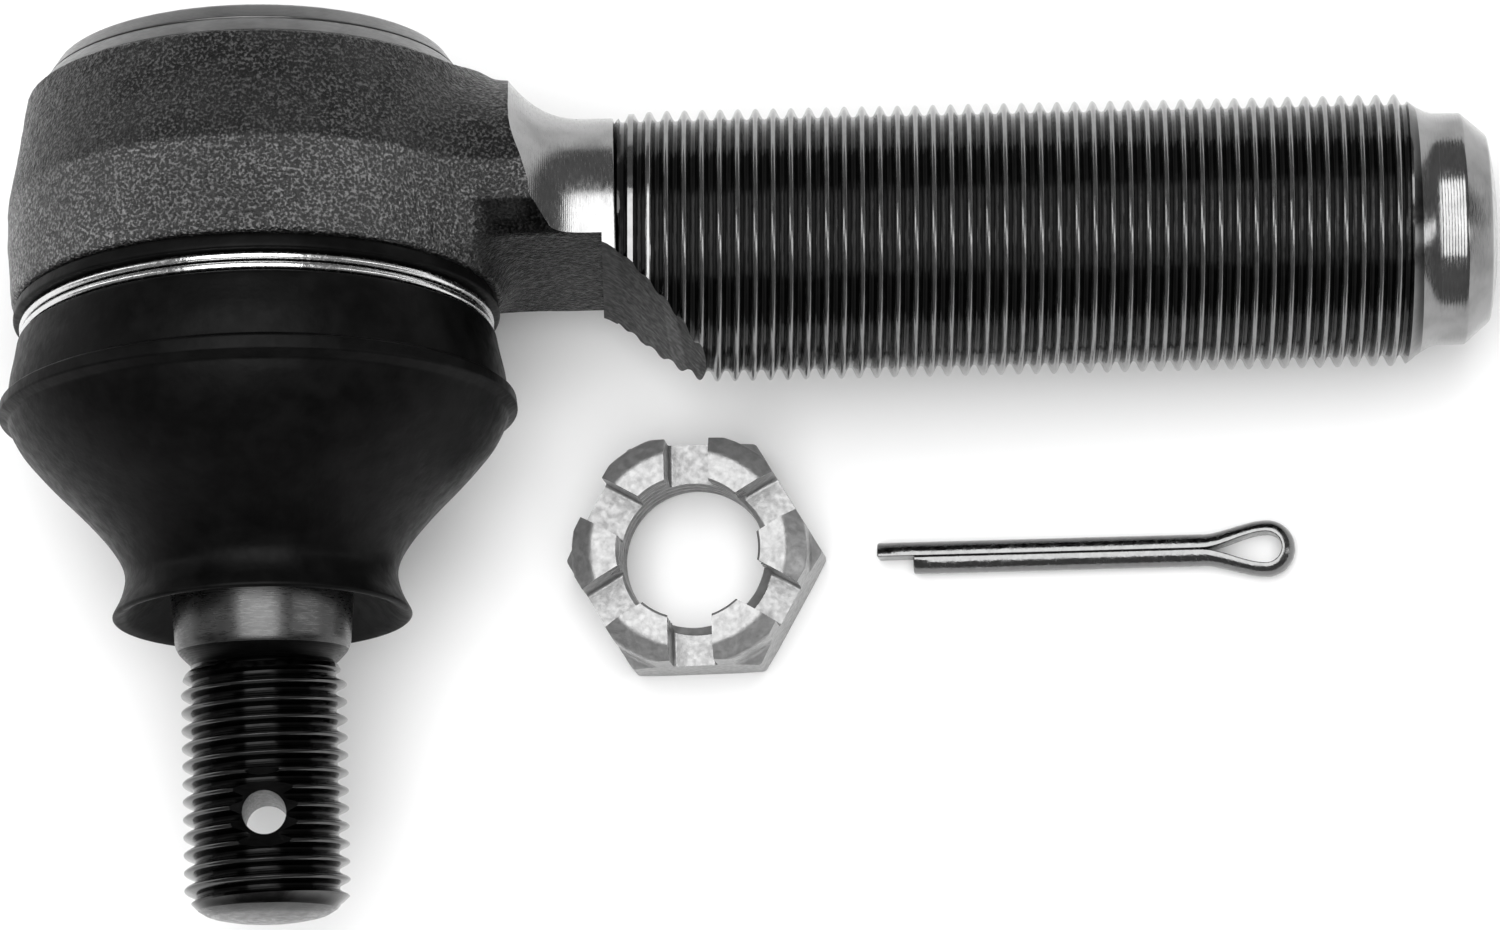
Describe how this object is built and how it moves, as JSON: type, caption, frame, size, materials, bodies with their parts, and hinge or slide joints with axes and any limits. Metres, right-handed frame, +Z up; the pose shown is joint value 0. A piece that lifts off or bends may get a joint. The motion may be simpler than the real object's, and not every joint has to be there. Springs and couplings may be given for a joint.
{
  "type": "tie rod end",
  "caption": "Steering ball joint: forged housing with threaded shank, ball stud in a rubber boot, castle nut and split pin beside it.",
  "frame": {"origin": "middle of the underside of the whole kit's box, on the surface that it lies on", "axes": "+X along the shank towards its free end, -Y along the ball stud towards its free end, +Z up from the surface"},
  "size_m": [0.1266, 0.0758, 0.0442],
  "materials": {
    "forging": "shot-blasted dark forging with turned rim, neck, thread and pilot",
    "cap_steel": "pressed, satin",
    "spring_steel": "satin",
    "seat_plastic": "matt",
    "clip_wire": "polished wire",
    "boot_rubber": "satin",
    "stud_steel": "blackened thread, ground taper",
    "nut_zinc": "bright zinc plate",
    "pin_zinc": "dull zinc plate"
  },
  "bodies": {
    "housing": {"housing": "forging", "end_cap": "cap_steel", "preload_spring": "spring_steel", "upper_seat": "seat_plastic", "boot_clip_ring": "clip_wire"},
    "boot_turn": {"lower_seat": "seat_plastic", "dust_boot": "boot_rubber"},
    "neck_tilt": {"boot_neck_ring": "spring_steel"},
    "stud": {"ball_stud": "stud_steel"},
    "nut": {"castle_nut": "nut_zinc"},
    "split_pin": {"cotter_pin": "pin_zinc"}
  },
  "joints": [
    {"name": "stud_turn", "type": "hinge", "parent": "housing", "child": "boot_turn", "pos_m": [-0.04188, 0.01876, 0.02125], "axis": [0.0151, -0.9885, 0.1505], "continuous": true},
    {"name": "stud_tilt", "type": "hinge", "parent": "boot_turn", "child": "neck_tilt", "pos_m": [-0.04188, 0.01876, 0.02125], "axis": [0.995, 0, -0.1001], "range_deg": [-28.7, 11.3], "deforming": ["dust_boot"]},
    {"name": "stud_spin", "type": "hinge", "parent": "neck_tilt", "child": "stud", "pos_m": [-0.04188, 0.01876, 0.02125], "axis": [0, -1, 0], "continuous": true},
    {"name": "nut_lift", "type": "slide", "parent": "housing", "child": "nut", "axis": [0, 0, 1], "range_m": [0, 0.05]},
    {"name": "pin_lift", "type": "slide", "parent": "housing", "child": "split_pin", "axis": [0, 0, 1], "range_m": [0, 0.05]}
  ]
}
